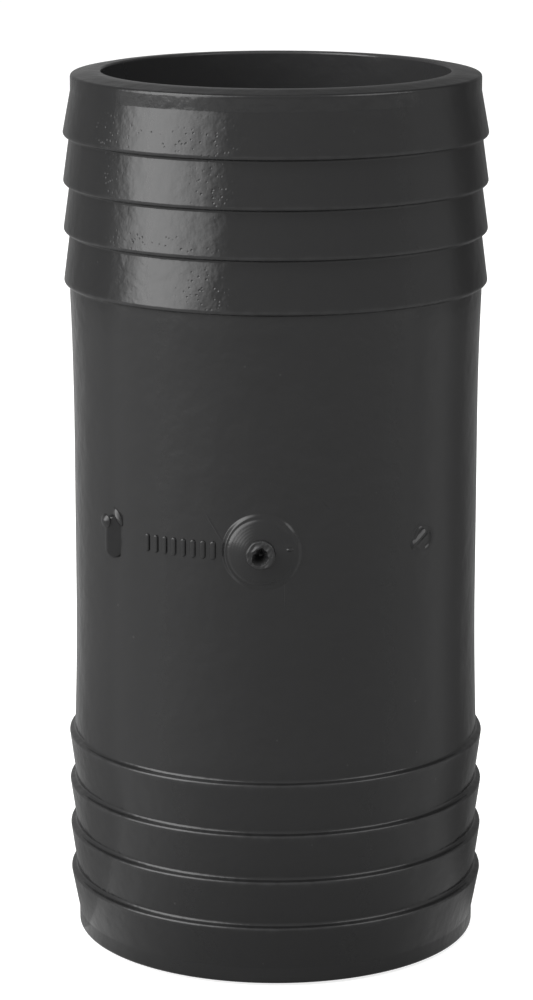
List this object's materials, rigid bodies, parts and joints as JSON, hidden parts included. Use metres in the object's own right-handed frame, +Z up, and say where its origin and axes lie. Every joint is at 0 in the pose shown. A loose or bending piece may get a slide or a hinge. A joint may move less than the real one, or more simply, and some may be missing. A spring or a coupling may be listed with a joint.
{
  "type": "barbed hose coupling",
  "caption": "Straight coupling moulded in one piece: a thick plain tube with saw-tooth barbs round both ends, for joining two lengths of hose or soft pipe.",
  "frame": {"origin": "middle of the lower end, on the bore's axis and level with the end face that it stands on", "axes": "+Z runs up the bore's axis from the lower end to the upper end; the gate boss at mid-length faces -Y and +X is to its right"},
  "size_m": [0.0539, 0.0548, 0.1125],
  "materials": {
    "grey_plastic": "satin, as moulded"
  },
  "bodies": {
    "root": {"coupling": "grey_plastic"}
  },
  "joints": []
}
